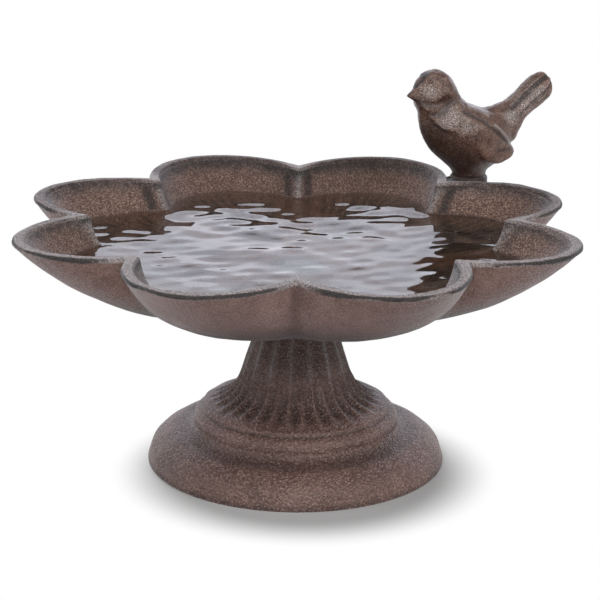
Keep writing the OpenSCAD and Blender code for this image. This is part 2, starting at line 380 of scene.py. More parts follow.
# %% Place of the bird
bird_r = 114.0  # from the middle of the bowl to the bird
bird_a = math.pi / 4  # a crease, half way from the back to the right
facing = math.radians(200)  # the beak turns this far from the right, over the back
foot_back = 1.2  # the foot stands this far behind the middle of the pad
bird_centre = Vector((bird_r * math.sin(bird_a), bird_r * math.cos(bird_a), rim_h + pad_h))
to_rim = Matrix.Translation(bird_centre) @ Matrix.Rotation(facing, 4, "Z")
to_rim = to_rim @ Matrix.Translation((-foot_back, 0, 0))
out_of_crease = Matrix.Translation(bird_centre) @ Matrix.Rotation(-bird_a, 4, "Z")
print("pad of the bird at", [round(v, 1) for v in bird_centre])

# %% Tongue, pad and rib
# Heights are measured from the top of the pad. The tongue and the rib grow inwards, along -Y.
pad_r = 9.0
tongue_t = 8.0
pad_profile = [(0.5, -tongue_t), (pad_r - 1.4, -tongue_t), (pad_r - 0.5, -tongue_t + 0.4),
               (pad_r, -tongue_t + 1.3), (pad_r, -1.1), (pad_r - 0.3, -0.4), (pad_r - 0.9, -0.05),
               (pad_r - 1.5, 0), (0.5, 0)]
pad_turn = np.arange(64) / 64 * 2 * math.pi
pad_rows = [np.stack([r * np.sin(pad_turn), r * np.cos(pad_turn), z + 0 * pad_turn], 1)
            for r, z in pad_profile]
pad_points, pad_faces = loft(pad_rows)

link_plan = np.array([(-1, -15.8), (-3.6, -13), (-7, -9.6), (-7, 0), (7, 0), (7, -9.6), (3.6, -13),
                      (1, -15.8)])
link_rows = []
for back, z in ((0.6, -tongue_t + 0.7), (0, -tongue_t + 1.3), (0, -1.9), (0.2, -1.4), (0.7, -1.1)):
    shrunk = link_plan * (1 - back / 9)
    link_rows.append(np.c_[shrunk, np.full(len(shrunk), z)])
link_points, link_faces = loft(link_rows)
rib_side = [(5, -tongue_t + 1), (-19, -tongue_t + 1), (-22, -tongue_t - 15), (-8, -tongue_t - 4)]
rib_rows = []
for across, back in ((-2.5, 0.5), (-2, 0), (2, 0), (2.5, 0.5)):
    rib_rows.append([(across, y * (1 - back / 25), z + back) for y, z in rib_side])
rib_points, rib_faces = loft(rib_rows)
bowl_points, bowl_faces = join_lofts([
    (bowl_points, bowl_faces),
    (placed(pad_points, to_rim), pad_faces),
    (placed(link_points, out_of_crease), link_faces),
    (placed(rib_points, out_of_crease), rib_faces)])
bowl = put("bowl_shell", bowl_points, bowl_faces)
print("bowl", len(bowl.data.polygons), "faces")

# %% [markdown]
# ## The pedestal
# A trumpet with sixteen flutes stands on a moulded round base. Lower down each flute splits in
# two, and the pairs end in round pockets on the flare. The profile alone could be spun, and the
# flutes cut with a Boolean. As they split, taper and follow the flare, the pedestal is a grid
# instead, and a rule says how deep the metal lies below the ridges at each point.

# %% Trumpet
lip_z = 26.0  # the trumpet ends here, on the base
lip_r = 42.3
groove_z = 24.4  # a groove parts it from the torus below
neck_r = 17.4  # at the top, below the bowl
flare_w = 11.9  # how far the flare stands out beyond the cone of the neck
flare_h = 4.6  # and how high it reaches
flutes = 16
flute_d = 2.3
flute_turn = math.radians(6)
split_z = 38.0  # below this each flute is a pair
merge_z = 48.0  # above this it is one


def stem_r(z):
    """Radius of the trumpet over its ridges."""
    lower = (seat_h - z) / (seat_h - lip_z)
    bell = flare_w * math.exp(-((max(0, z - lip_z) / flare_h) ** 1.4))
    return neck_r + (lip_r - flare_w - neck_r) * lower + bell


def flute_depth(t, z):
    """How far the surface lies under the ridges. t goes from 0 to 1 across one flute."""
    w = float(np.clip((z - split_z) / (merge_z - split_z), 0, 1))  # 0 for a pair, 1 for one
    two = np.abs(np.sin(2 * math.pi * t)) ** 0.7
    one = np.sin(math.pi * t)
    across = np.abs(4 * np.where(t < 0.5, t - 0.25, t - 0.75))  # 0 in the middle of a pocket
    above_end = z - lip_z - 0.9 - 1.6 * across**2  # the pockets end in a curve
    low = two * ease(above_end / 2.5)
    taper = 1 - 0.3 * (z - lip_z) / (merge_z - lip_z)  # deepest at the end
    return flute_d * ((1 - w) * low * taper + w * 0.75 * one)


print("radius of the neck", neck_r, "and half way down", round(stem_r((seat_h + lip_z) / 2), 1))

# %% Rows of the trumpet
# (radius over the ridges, height, 1 where there are flutes)
lip_rows = [(lip_r - 0.1, groove_z + 0.1, 0), (lip_r - 0.15, groove_z + 0.4, 0),
            (lip_r + 0.05, groove_z + 0.8, 0), (lip_r + 0.1, lip_z - 0.4, 0), (lip_r, lip_z, 0),
            (lip_r - 0.3, lip_z + 0.3, 0)]
trumpet_rows = []
for z in span(lip_z + 0.6, 34, 26) + span(34, seat_h - 0.8, 34):
    trumpet_rows.append((stem_r(z), z, 1))
trumpet_rows += [(neck_r - 0.1, seat_h - 0.8, 1), (neck_r - 0.25, seat_h - 0.45, 1),
                 (neck_r - 0.8, seat_h, 0), (12, seat_h, 0), (hole_r, seat_h, 0)]
print("trumpet rows", len(lip_rows) + len(trumpet_rows))

# %% [markdown]
# The pattern of the base is turned on a lathe before it is moulded in sand: a skirt, a cove and a
# torus. Each is an arc, so a radius and a centre say all of it. A Screw modifier could spin them.
# Here they are rows of the same grid as the trumpet, which gives the casting one skin. It is
# hollow and open below, which saves iron and lets a hand reach the nut.

# %% Base mouldings and the hollow below
base_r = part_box("pedestal")[1].x / MM
foot_h = 1.4  # height of the upright edge of the foot


def arc(centre, r, a, b, n):
    """Rows on an arc of the profile, from the angle a to the angle b."""
    turns = np.radians(np.linspace(a, b, n + 1))
    return [(centre[0] + r * math.cos(t), centre[1] + r * math.sin(t), 0) for t in turns]


def smoothed(line, passes):
    """Rows with their corners rounded off a little, apart from those of the foot."""
    line = np.array(line, float)
    for _ in range(passes):
        line[4:-1, :2] = (line[3:-2, :2] + 2 * line[4:-1, :2] + line[5:, :2]) / 4
    return [tuple(p) for p in line]


foot = [(62.0, 0, 0), (base_r - 0.4, 0, 0), (base_r, 0.4, 0), (base_r, foot_h, 0),
        (base_r - 0.3, foot_h + 0.5, 0)]
skirt = arc((51.2, -3.4), 17.9, 34, 81, 28)
cove = arc((51.6, 20.6), 6.1, 274, 212, 14)
torus = arc((41.7, 19.8), 4.6, -28, 76, 20)
cavity = [(hole_r, seat_h - 7, 0), (15, seat_h - 7, 0), (16.2, 47, 0), (18.5, 39, 0), (23, 32, 0),
          (31, 25.5, 0), (37, 20, 0), (41.5, 13.5, 0), (50, 9.2, 0), (56, 6, 0), (60.5, 2.5, 0)]
profile = smoothed(foot + skirt + cove + torus + lip_rows, 5) + trumpet_rows + cavity
print("the profile of the pedestal has", len(profile), "rows")

# %% The pedestal as one mesh
columns = 640
around = np.arange(columns) / columns * 2 * math.pi
flute_t = ((around - flute_turn) / (2 * math.pi) * flutes) % 1
stem = []
for r, z, fluted in profile:
    q = r - (flute_depth(flute_t, z) if fluted else 0)
    stem.append(np.stack([q * np.sin(around), q * np.cos(around), z + 0 * around], 1))
stem = np.array(stem)
heights = np.array([z for r, z, fluted in profile])[:, None]
shake = sway(stem.reshape(-1, 3), 18).reshape(stem.shape[:2]) * 0.14
shake *= (heights > foot_h) & (heights < seat_h - 1)  # the foot and the top stay true
stem += grid_normals(stem) * shake[..., None]
pedestal = put("pedestal_stem", stem.reshape(-1, 3), grid_faces(len(profile), columns, joined=True))
print("pedestal", len(pedestal.data.polygons), "faces")

# %% [markdown]
# ## The bird
# The bird was carved with a knife before it was cast, so it is built from broad soft facets: a
# body, a tail of three feathers, two folded wings and a short beak. Each is a loft through a few
# sections. A voxel remesh melts the lofts into one skin, as wax would, and the facets and creases
# are then cut in that skin by moving its points.

# %% Curves through sections
def through(at, values, x):
    """A smooth curve through values that are given at the places at, evaluated at x."""
    at = np.asarray(at, float)
    values = np.asarray(values, float)
    if at[0] > at[-1]:
        at, values = at[::-1], values[::-1]
    x = np.asarray(x, float)
    tilt = np.gradient(values, at, axis=0)
    k = np.clip(np.searchsorted(at, x) - 1, 0, len(at) - 2)
    wide = (at[k + 1] - at[k])
    t = ((x - at[k]) / wide)[:, None]
    wide = wide[:, None]
    start = values[k] * (1 + 2 * t) * (1 - t) ** 2 + tilt[k] * wide * t * (1 - t) ** 2
    return start + values[k + 1] * t * t * (3 - 2 * t) + tilt[k + 1] * wide * t * t * (t - 1)


def blunt(wave, power):
    """A sine or cosine drawn towards 1 and -1, which makes an oval blunter."""
    return np.sign(wave) * np.abs(wave) ** power


print("a wave at 0.5, made blunter, is at", round(float(blunt(0.5, 0.6)), 2))

# %% Body and head
# [height, furthest back, furthest forward, half width], with the beak towards +X
body_sections = np.array([
    [0, -8.2, 8.2, 8.0], [1.5, -8.1, 8.1, 7.9], [3, -8.8, 9.2, 8.4], [5, -11.4, 11, 9.8],
    [8, -14.6, 14.4, 11.8], [12, -18, 18.9, 13.6], [16.5, -21, 22.2, 14.9],
    [21, -21.6, 24.4, 15.5], [25.5, -19.6, 25.8, 15.0], [29.5, -14, 26.6, 13.2],
    [32.6, -5, 27.2, 12.2], [35, 1.6, 28.4, 11.6], [38, 5.6, 29.4, 11.3], [41.5, 7.8, 29.8, 11],
    [45, 9.6, 29.4, 10.2], [48, 11.6, 27.4, 8.8], [50.3, 14, 24.2, 6.6], [51.5, 16.4, 20.8, 3.8],
    [51.9, 17.8, 19.2, 1.4]])
levels = np.concatenate([np.linspace(0, 50, 100, endpoint=False), np.linspace(50, 52, 14)])
body_turn = np.linspace(0, 2 * math.pi, 96, endpoint=False)
body_rows = []
body_ovals = through(body_sections[:, 0], body_sections[:, 1:], levels)
for z, (back, front, width) in zip(levels, body_ovals):
    x = (back + front) / 2 + (front - back) / 2 * np.cos(body_turn)
    body_rows.append(np.stack([x, width * np.sin(body_turn), z + 0 * x], 1))
body_loft = loft(body_rows)
print("body rows", len(body_rows))

# %% Tail
# [upper edge along, upper edge height, lower edge along, lower edge height, half width]
tail_sections = np.array([
    [-2, 32.5, -12, 12, 9], [-7.5, 32.2, -21, 15.5, 8.8], [-12.6, 32.9, -23.6, 19.6, 8],
    [-17, 34.5, -25.6, 23.6, 7.2], [-21, 36.9, -28.2, 27.2, 6.8], [-24.4, 39.8, -31.4, 29.9, 6.6],
    [-27.7, 43.0, -35, 32.1, 6.7], [-31.1, 45.8, -38.4, 34.6, 6.6], [-34.2, 47.4, -40.6, 37.2, 5.8],
    [-36.8, 47.9, -41.5, 40.2, 4.4], [-38.3, 47.4, -41.3, 42.8, 2.4]])
tail_turn = np.linspace(0, 2 * math.pi, 120, endpoint=False)
tail_up = blunt(np.sin(tail_turn), 0.9)
tail_side = blunt(np.cos(tail_turn), 0.8)
between_feathers = band(tail_up - 0.58, 0.13) + band(tail_up + 0.22, 0.11)
places = np.linspace(0, len(tail_sections) - 1, 90)
tail_ovals = through(np.arange(len(tail_sections)), tail_sections, places)
tail_rows = []
for row, (ax, az, bx, bz, wide) in zip(places, tail_ovals):
    deep = 1.3 * float(ease((row - 2) / 3))
    side = (wide * (1 - 0.15 * tail_up) - deep * between_feathers) * tail_side
    x = (ax + bx) / 2 + (ax - bx) / 2 * tail_up
    z = (az + bz) / 2 + (az - bz) / 2 * tail_up
    tail_rows.append(np.stack([x, side, z], 1))
tail_loft = loft(tail_rows)
print("tail rows", len(tail_rows))

# %% Beak
# [along, lowest, highest, half width]
beak_sections = np.array([
    [22, 33.5, 47, 8.6], [26, 35.2, 45.4, 7.2], [29, 36.9, 43.7, 5.0], [31.2, 38.5, 42.1, 3.0],
    [32.8, 39.6, 41.0, 1.2], [33.3, 40.0, 40.6, 0.5]])
beak_turn = np.linspace(0, 2 * math.pi, 40, endpoint=False)
places = np.linspace(0, len(beak_sections) - 1, 30)
beak_rows = []
for x, low, high, wide in through(np.arange(len(beak_sections)), beak_sections, places):
    up = np.sin(beak_turn)
    side = wide * blunt(np.cos(beak_turn), 0.9)
    beak_rows.append(np.stack([x + 0 * up, side, (low + high) / 2 + (high - low) / 2 * up], 1))
beak_loft = loft(beak_rows[::-1])
print("beak rows", len(beak_rows))

# %% Folded wings
# [along, lower edge, upper edge, distance of the face from the middle]
wing_sections = np.array([
    [24.5, 30.5, 32.5, 10.8], [22.5, 28.2, 34.4, 12.8], [18, 24.8, 35.6, 14.6], [12, 21.9, 35, 15.7],
    [6.2, 17.6, 32.4, 16.4], [1.6, 12.9, 30.2, 16.5], [-2, 9.2, 27.6, 16.2], [-6.5, 7.4, 24.2, 15.4],
    [-11, 7.2, 20.6, 14.2], [-15, 8.2, 17.6, 12.8], [-18.4, 9.6, 15.4, 10.8], [-20, 11, 13.6, 9.2]])
wing_t = 4.5  # half of the thickness of a wing
wing_lofts = []
wing_turn = np.linspace(0, 2 * math.pi, 72, endpoint=False)
places = np.linspace(24.5, -20, 90)
wing_ovals = through(wing_sections[:, 0], wing_sections[:, 1:], places)
for side in (-1, 1):
    wing_rows = []
    for x, (low, high, out) in zip(places, wing_ovals):
        z = (low + high) / 2 + (high - low) / 2 * blunt(np.sin(wing_turn), 0.6)
        y = out - wing_t + wing_t * blunt(np.cos(wing_turn), 0.5)
        y = y - (0.6 + 2.0 * (z - low) / (high - low)) * (y > out - wing_t)  # leans in at its top
        wing_rows.append(np.stack([x + 0 * y, side * y, z], 1))
    if side > 0:
        wing_rows = wing_rows[::-1]
    wing_lofts.append(loft(wing_rows))
print("wings", len(wing_lofts))

# %% [markdown]
# A Boolean union of the lofts would leave hard seams. A voxel remesh gives one even skin with
# blended seams, and a little smoothing takes away the steps that the voxels leave.

# %% Melt the lofts into one skin
melt_points, melt_faces = join_lofts([body_loft, tail_loft, beak_loft] + wing_lofts)
wax = put("bird_wax", melt_points, melt_faces)
melt = wax.modifiers.new("melt", "REMESH")
melt.mode = "VOXEL"
melt.voxel_size = 0.45 * MM
soften = wax.modifiers.new("soften", "SMOOTH")
soften.factor = 0.5
soften.iterations = 6
bpy.context.view_layer.update()
skin = bpy.data.meshes.new_from_object(wax.evaluated_get(bpy.context.evaluated_depsgraph_get()))
bpy.data.objects.remove(wax)
carved = np.empty(len(skin.vertices) * 3)
skin.vertices.foreach_get("co", carved)
carved = carved.reshape(-1, 3) / MM
print("wax bird", len(carved), "points", carved.min(0).round(1), carved.max(0).round(1))

# %% [markdown]
# ## The carving
# A knife takes off what stands beyond a plane. Each facet is such a plane, with a soft edge and a
# limited reach. Then come the narrow cuts: the line of the beak, the edges of the wings and the
# feathers of the tail. Sculpting by hand would do as well, but a list of cuts can be read.

# %% Facets
# name: [a point of the facet, the way it faces, the middle of its reach, its reach]
facets = {
    "cheek": [(34.2, 0, 40.6), (0.50, 0.84, 0.20), (22, 5, 43), 16],
    "shoulder": [(14, 13.5, 29), (0.38, 0.84, 0.38), (12, 15, 29), 15],
    "side_of_wing": [(2, 16.4, 24), (-0.12, 0.98, 0.14), (2, 16, 24), 12],
    "end_of_wing": [(-8, 14.4, 14), (-0.38, 0.92, -0.02), (-9, 13, 14), 12],
    "belly": [(10, 12.0, 13), (0.3, 0.8, -0.5), (10, 13, 13), 11],
    "breast": [(21, 9.6, 22), (0.72, 0.68, -0.15), (22, 10, 22), 10],
}
soft_edge = 0.25  # mm


def cut(points, where, way, middle, reach):
    """Flatten what stands out beyond a plane, near middle, on both sides of the bird."""
    way = np.array(way, float) / np.linalg.norm(way)
    for side in (1, -1):
        each = points * [1, side, 1]
        over = (each - where) @ way
        back = (over + np.sqrt(over * over + soft_edge * soft_edge)) / 2
        back = back * ease((reach - np.linalg.norm(each - middle, axis=1)) / (0.3 * reach))
        points = points - (way * [1, side, 1]) * back[:, None]
    return points


for where, way, middle, reach in facets.values():
    carved = cut(carved, where, way, middle, reach)
print("facets cut", len(facets))

# %% Grooves and ridges of the carving
# Lines seen from the side, as (along, height).
tail_line = [tail_sections[:, 0:2] * (1 + up) / 2 + tail_sections[:, 2:4] * (1 - up) / 2
             for up in (0.6, -0.25, 0.0)]
# name: [line, width, depth, smallest distance from the middle, how dark, how grey, the grey being a
# painted highlight along the raised ridges]
strokes = {
    "crest": [[(33.4, 40.6), (31, 43.2), (28.5, 45.6), (26.4, 47.8), (25.4, 49.6), (23, 51.4)],
              0.55, 0.2, 0, 0.95, 0],
    "jaw": [[(32, 39), (29.5, 37.6), (25.5, 36.8), (20.7, 37.4), (15, 39.8)], 1.2, 0.3, 1, 0.4, 0],
    "neck": [[(23, 31.6), (19.2, 33), (16.4, 36.4), (12.5, 38.5)], 1.4, 0.5, 1, 0.5, 0],
    "wing_low": [[(23.4, 28), (18, 23.9), (12, 21.4), (6, 16.9), (1.6, 12), (-1.4, 8.6), (-4, 7.4)],
                 1.1, 0, 5, 0.3, 0],
    "wing_up": [[(9, 33.4), (5, 31.6), (-0.7, 28.8), (-6, 24.4), (-10.8, 20), (-15, 16.9)],
                0.9, 0.4, 4, 0.6, 0],
    "wing_ridge": [[(5.4, 35), (0, 33), (-4.6, 30.4)], 0.9, -0.4, 4, 0, 0.8],
    "wing_back": [[(-7, 26.4), (-10.4, 23), (-13.6, 19.6), (-17, 15.6)], 0.8, -0.4, 4, 0, 0.8],
    "wing_tip": [[(-8.6, 13.8), (-15.6, 13.8)], 0.9, 0.15, 4, 0.6, 0],
    "quill_high": [tail_line[0][3:], 0.9, 0.4, 1, 0.8, 0],
    "quill_low": [tail_line[1][3:10], 0.8, 0.25, 1, 0.4, 0],
    "quill_ridge": [tail_line[2][4:], 0.6, -0.25, 1, 0, 0.7],
}


def line_distance(points, line):
    """How far points are from a line, seen from the side."""
    flat_points = points[:, [0, 2]]
    nearest = np.full(len(points), 1e9)
    for a, b in zip(np.array(line[:-1], float), np.array(line[1:], float)):
        t = np.clip((flat_points - a) @ (b - a) / ((b - a) @ (b - a)), 0, 1)
        nearest = np.minimum(nearest, np.linalg.norm(flat_points - a - t[:, None] * (b - a), axis=1))
    return nearest


def set_points(mesh, points):
    """Move the points of a mesh to points in millimetres."""
    mesh.vertices.foreach_set("co", (points * MM).ravel())
    mesh.update()


print("strokes", sorted(strokes))

# %% Carve the strokes
set_points(skin, carved)
outward = np.empty(len(carved) * 3)
skin.vertex_normals.foreach_get("vector", outward)
outward = outward.reshape(-1, 3)
sink = np.zeros(len(carved))
bird_dark = np.zeros(len(carved))
bird_ridge_highlight = np.zeros(len(carved))
for line, wide, deep, least, dark, grey in strokes.values():
    shape = band(line_distance(carved, line), wide)
    if least > 0:
        shape = shape * ease((np.abs(carved[:, 1]) - least) / 1.5)
    sink += deep * shape
    bird_dark = np.maximum(bird_dark, dark * shape)
    bird_ridge_highlight = np.maximum(bird_ridge_highlight, grey * shape)
for length, tall in ((8, 0.12), (4, 0.07)):
    sink -= tall * sway(carved, length)
# Painted shadow below the foot, where it stands on the tongue.
bird_dark = np.maximum(bird_dark, 0.9 * ease((1.6 - carved[:, 2]) / 1.6))  # below the foot
wing_line = np.array(strokes["wing_low"][0])[::-1]
wing_edge = np.interp(carved[:, 0], wing_line[:, 0], wing_line[:, 1])
# Painted shade on all that lies below the wings.
bird_shade = ease((wing_edge + 1 - carved[:, 2]) / 5)  # all that lies below the wings
carved = carved - outward * sink[:, None]
print("deepest cut", round(float(sink.max()), 2), "mm")

# %% Set the bird on the rim
bird_side = carved[:, [0, 2]]
carved = placed(carved, to_rim)
set_points(skin, carved)
skin.polygons.foreach_set("use_smooth", [True] * len(skin.polygons))
bird = bpy.data.objects.new("bird_carving", skin)
bpy.context.scene.collection.objects.link(bird)
print("bird at", [round(v, 1) for v in bird_centre])

# %% [markdown]
# ## The water
# The bowl is filled to a little over a centimetre below the rim. A breath of air ripples it, and
# the ripples are what the eye sees: they tear the mirrored room into bands. An Ocean modifier
# makes open sea, so the ripples are a sum of bent waves instead, most of which run from front to
# back. The water is a closed body of its own, and its underside hides in the iron.

# %% Outline of the water
water_z = 99.0
inner_rings = rings[rings[:, 4] == 2]


def at_height(z):
    """[radius at the tips, radius at the creases] of the inside at a height."""
    order = np.argsort(inner_rings[:, 2], kind="stable")
    heights = inner_rings[order, 2]
    return [float(np.interp(z, heights, inner_rings[order, k])) for k in (0, 1)]


water_tip, water_crease = at_height(water_z)
print("the water reaches", round(water_crease, 1), "to", round(water_tip, 1), "mm from the middle")
shore = outline(psi, water_tip, water_crease, edge_soft) + 0.25  # reaches into the iron

# %% Rippled top
top_rows = 112
parts_of = np.linspace(0.004, 1, top_rows) ** 0.9  # of the way to the shore
surface = []
for part in parts_of:
    surface.append(np.stack([shore * part * np.sin(turn), shore * part * np.cos(turn),
                             water_z + 0 * turn], 1))
surface = np.array(surface)
ripples = np.random.default_rng(11)
lift = np.zeros(surface.shape[:2])
ripple_count = 26
steep = 0.0023  # height of a ripple over its length
for k in range(ripple_count):
    length = ripples.uniform(9, 42)
    way = math.radians(ripples.normal(90, 52))  # 90 is from front to back
    tall = steep * length * ripples.uniform(0.5, 1.2)
    phase = ripples.uniform(0, 2 * math.pi)
    x, y = surface[..., 0], surface[..., 1]
    bent = 3 * np.sin(x / 31 + phase * 2) + 2 * np.sin((x + y) / 17 + phase)
    run = x * math.cos(way) + y * math.sin(way) + bent
    lift += tall * np.sin(2 * math.pi * run / length + phase)
off_shore = ease((1 - parts_of) / 0.05)[:, None]  # the water is calmer at its edge
surface[..., 2] += lift * (0.25 + 0.75 * off_shore)
print("ripples up to", round(float(np.abs(lift).max()), 2), "mm")

# %% Water as one mesh
hidden = 0.5  # mm that the underside lies within the iron
below = []
under_water = inner_rings[inner_rings[:, 2] < water_z - 0.6]
for tip, crease, z, soft, side in under_water[::2]:
    r = outline(psi, tip, crease, soft) if tip > hub_r else np.full(len(psi), tip)
    below.append(np.stack([(r + hidden) * np.sin(turn), (r + hidden) * np.cos(turn),
                           z - hidden + 0 * turn], 1))
water_rows = np.concatenate([surface, np.array(below)])
water_points, water_faces = loft(water_rows)
water_faces = [face[::-1] for face in water_faces]  # its rows start on top, in the middle
water = put("water", water_points, water_faces)
print("water", len(water.data.polygons), "faces")

# %% [markdown]
# ## Finishes
# A material is a small network of nodes. One function adds a node with its settings and links, so
# that each network reads as a list. Colours are written as sRGB hex values, and patterns get
# their scale from a size in millimetres.

# %% Colours and nodes
def linear(hex_colour):
    """An sRGB hex colour as Blender's linear RGBA."""
    found = []
    for i in (0, 2, 4):
        c = int(hex_colour[i:i + 2], 16) / 255
        found.append(c / 12.92 if c <= 0.04045 else ((c + 0.055) / 1.055) ** 2.4)
    return (*found, 1)


def add(tree, kind, settings=None, **links):
    """Add a node. A link's name is the input's name in lower case, or in_0, in_1 for its place.
    The setting stops gives a colour ramp its [(place, hex colour or a level of white from 0 to 1)]."""
    node = tree.nodes.new(kind)
    for key, value in (settings or {}).items():
        if key != "stops":
            setattr(node, key, value)
            continue
        ramp = node.color_ramp.elements
        while len(ramp) < len(value):
            ramp.new(0.5)
        for element, (place, colour) in zip(ramp, value):
            element.position = place
            element.color = linear(colour) if isinstance(colour, str) else [colour] * 3 + [1]
    for key, value in links.items():
        place = key.removeprefix("in_")
        if place.isdigit():
            socket = node.inputs[int(place)]
        else:
            socket = next(s for s in node.inputs if s.name.lower().replace(" ", "_") == key)
        if isinstance(value, bpy.types.NodeSocket):
            tree.links.new(value, socket)
        else:
            socket.default_value = value
    return node.outputs


def new_material(name):
    """A material without nodes, and its network."""
    material = bpy.data.materials.new(name)
    material.use_nodes = True
    material.node_tree.nodes.clear()
    return material, material.node_tree


def per_mm(size):
    """The scale of a pattern whose features are size mm apart."""
    return 1 / (size * MM)


print("brown patina as linear colour", [round(c, 3) for c in linear("6f5a50")])

# %% [markdown]
# ### Cast iron with a waxed brown patina
# Iron cast in green sand comes out with the grain of the sand on it. It is left to rust, brushed
# and waxed. To the eye it is a warm brown with a pepper-and-salt grain, greyer where it was
# brushed, and almost black along the arrises. Rust under wax mirrors like a varnish and not like
# bare metal, so it isn't metallic, and its index is 1.5. The wax has a thin bloom that greys the
# iron at flat angles, which is what sheen is for.
#
# Moulding sand has grains of 0.2 to 0.3 mm. They are too fine to show from a metre away, so the
# grain is drawn at 0.7 to 1.05 mm. Where the iron is speckled, grey, worn dark or hollow is a
# matter of form, so the points of each mesh say it and the material reads that. The same marks
# also paint light into the colour: highlights and sheen with the grey, shade with the dark and
# hollow parts.

# %% Patterns of the patina
mark_kinds = ("worn", "grey", "speck", "hollow")


def read_marks(tree):
    """The marks that the points of a mesh carry, as sockets."""
    return {kind: add(tree, "ShaderNodeAttribute", {"attribute_name": kind})["Fac"]
            for kind in mark_kinds}


def rust_patterns(tree, grain, cloud, marks):
    """Sums of patterns, as sockets: the brown, the height and the relief of the grain, and how
    greyish and how dark a place is, painted sheen and shade included."""
    place = add(tree, "ShaderNodeTexCoord")["Object"]
    sand, stain, clouds = [
        add(tree, "ShaderNodeTexNoise", vector=place, scale=per_mm(size), detail=detail,
            roughness=0.6)["Fac"]
        for size, detail in ((0.8 * grain, 2.0), (4, 3.0), (cloud, 4.0))]
    cells = add(tree, "ShaderNodeTexVoronoi", {"feature": "SMOOTH_F1"}, vector=place,
                scale=per_mm(1.15 * grain), smoothness=0.6)["Distance"]
    pebbles = add(tree, "ShaderNodeMapRange", value=cells, from_min=0.15, from_max=0.55, to_min=1.0,
                  to_max=0.0)[0]
    # what a sum starts from, then each pattern with its weight
    blends = {
        "brown": (-0.06, (sand, 0.3), (stain, 0.25), (clouds, 0.45), (pebbles, 0.12)),
        "height": (-0.08, (sand, 1.0), (pebbles, 0.16)),
        "relief": (0.0, (sand, 0.7), (pebbles, 0.5)),
        "grey": (-0.3, (stain, 0.6), (marks["grey"], 1.0)),
        "worn": (-1.5, (stain, 0.8), (sand, 2.2), (marks["worn"], 1.0)),
    }
    sums = {}
    for name, (total, *parts) in blends.items():
        for pattern, weight in parts:
            total = add(tree, "ShaderNodeMath", {"operation": "MULTIPLY_ADD"}, in_0=pattern,
                        in_1=weight, in_2=total)[0]
        sums[name] = total
    return sums


print("marks that the patina reads:", ", ".join(mark_kinds))

# %% Patina
def patina(name, grain, cloud, browns, over, rough, relief, sheen):
    """Waxed rust, with light and shade painted in by the marks. grain and cloud are the sizes of the
    sand and of the stains in mm. over has the colours of the specks, of the greyish parts with their
    painted sheen and highlights, of the dark parts of wear and of the hollows, both also painted
    shade, which lie over the browns. rough is how dull the grains are, and relief how strongly they
    stand out."""
    material, tree = new_material(name)
    marks = read_marks(tree)
    pattern = rust_patterns(tree, grain, cloud, marks)
    height = pattern["height"]

    # Salt is where grains stand up, pepper is in the pits between them.
    salt = add(tree, "ShaderNodeMapRange", value=height, from_min=0.47, from_max=0.68)[0]
    pepper = add(tree, "ShaderNodeMapRange", value=height, from_min=0.32, from_max=0.53, to_min=1.0,
                 to_max=0.0)[0]
    grey, salt, pepper = [
        add(tree, "ShaderNodeMath", {"operation": "MULTIPLY", "use_clamp": True}, in_0=part,
            in_1=marks[kind])[0]
        for part, kind in ((pattern["grey"], "grey"), (salt, "speck"), (pepper, "speck"))]
    worn = add(tree, "ShaderNodeMapRange", value=pattern["worn"], from_min=0.38, from_max=0.62,
               to_max=0.92)[0]
    colour = add(tree, "ShaderNodeValToRGB", {"stops": list(zip((0.38, 0.50, 0.62), browns))},
                 fac=pattern["brown"])[0]
    # The marks lay painted highlights, sheen and shade over the browns, along with the wear.
    for part, kind in ((marks["hollow"], "hollow"), (grey, "grey"), (salt, "speck"),
                       (pepper, "hollow"), (worn, "worn")):
        colour = add(tree, "ShaderNodeMix", {"data_type": "RGBA"}, in_0=part, in_6=colour,
                     in_7=linear(over[kind]))[2]

    # Grains that stand up are rubbed smoother than the pits, and the dark parts of wear and painted
    # shade are duller.
    gloss = add(tree, "ShaderNodeMapRange", value=height, from_min=0.35, from_max=0.65,
                to_min=rough + 0.14, to_max=rough - 0.1)[0]
    gloss = add(tree, "ShaderNodeMath", {"operation": "MULTIPLY_ADD"}, in_0=worn, in_1=0.2,
                in_2=gloss)[0]
    bumps = add(tree, "ShaderNodeBump", strength=relief, distance=0.8 * grain * MM,
                height=pattern["relief"])[0]
    shader = add(tree, "ShaderNodeBsdfPrincipled", base_color=colour, roughness=gloss, ior=1.5,
                 specular_ior_level=0.38, sheen_weight=sheen, sheen_roughness=0.3,
                 sheen_tint=(0.85, 0.9, 1, 1), normal=bumps)[0]
    add(tree, "ShaderNodeOutputMaterial", surface=shader)
    return material


bowl.data.materials.append(patina(
    "iron_bowl_patina", grain=0.8, cloud=20, browns=("5a4038", "6d524b", "7b615a"),
    over={"speck": "9c8672", "grey": "918d8f", "worn": "0e0d0d", "hollow": "351e12"},
    rough=0.48, relief=0.7, sheen=0.3))
pedestal.data.materials.append(patina(
    "iron_pedestal_patina", grain=1.05, cloud=20, browns=("4f3832", "684f48", "7c615a"),
    over={"speck": "9a8075", "grey": "8a8586", "worn": "201917", "hollow": "2c1c16"},
    rough=0.38, relief=0.8, sheen=0.1))
bird.data.materials.append(patina(
    "iron_bird_patina", grain=0.7, cloud=8, browns=("3f2820", "5b4035", "76594d"),
    over={"speck": "c6ae9f", "grey": "a09997", "worn": "1b1514", "hollow": "2b1a14"},
    rough=0.31, relief=0.3, sheen=0.25))
print("patina on three castings")
